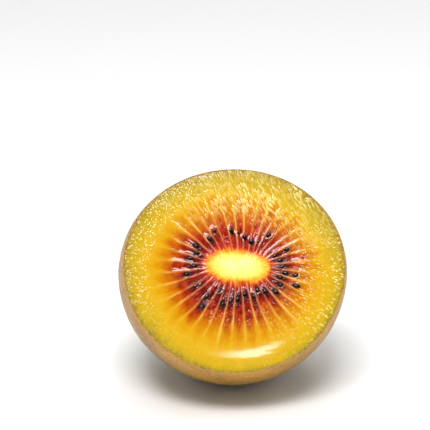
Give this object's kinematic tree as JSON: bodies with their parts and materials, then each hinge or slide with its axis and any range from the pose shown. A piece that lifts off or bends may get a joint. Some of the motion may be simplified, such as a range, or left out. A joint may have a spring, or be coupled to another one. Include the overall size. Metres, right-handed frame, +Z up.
{
  "type": "kiwi fruit half",
  "caption": "Half of a red-fleshed kiwi fruit cut across, lying on its rounded skin with the cut face and its ring of dark seeds leaning back.",
  "frame": {"origin": "middle of the small flat spot on the rounded underside that the half rests on", "axes": "+Z up, -Y towards the side that the cut face looks to, +X to the right as seen from there"},
  "size_m": [0.05, 0.0473, 0.0487],
  "materials": {
    "skin_and_flesh": "satin skin outside, wet golden and red flesh on the cut face",
    "seed_coat": "glossy wet black"
  },
  "bodies": {
    "root": {"fruit_half": "skin_and_flesh", "seed_01": "seed_coat", "seed_02": "seed_coat", "seed_03": "seed_coat", "seed_04": "seed_coat", "seed_05": "seed_coat", "seed_06": "seed_coat", "seed_07": "seed_coat", "seed_08": "seed_coat", "seed_09": "seed_coat", "seed_10": "seed_coat", "seed_11": "seed_coat", "seed_12": "seed_coat", "seed_13": "seed_coat", "seed_14": "seed_coat", "seed_15": "seed_coat", "seed_16": "seed_coat", "seed_17": "seed_coat", "seed_18": "seed_coat", "seed_19": "seed_coat", "seed_20": "seed_coat", "seed_21": "seed_coat", "seed_22": "seed_coat", "seed_23": "seed_coat", "seed_24": "seed_coat", "seed_25": "seed_coat", "seed_26": "seed_coat", "seed_27": "seed_coat", "seed_28": "seed_coat", "seed_29": "seed_coat", "seed_30": "seed_coat", "seed_31": "seed_coat", "seed_32": "seed_coat", "seed_33": "seed_coat", "seed_34": "seed_coat"}
  },
  "joints": []
}
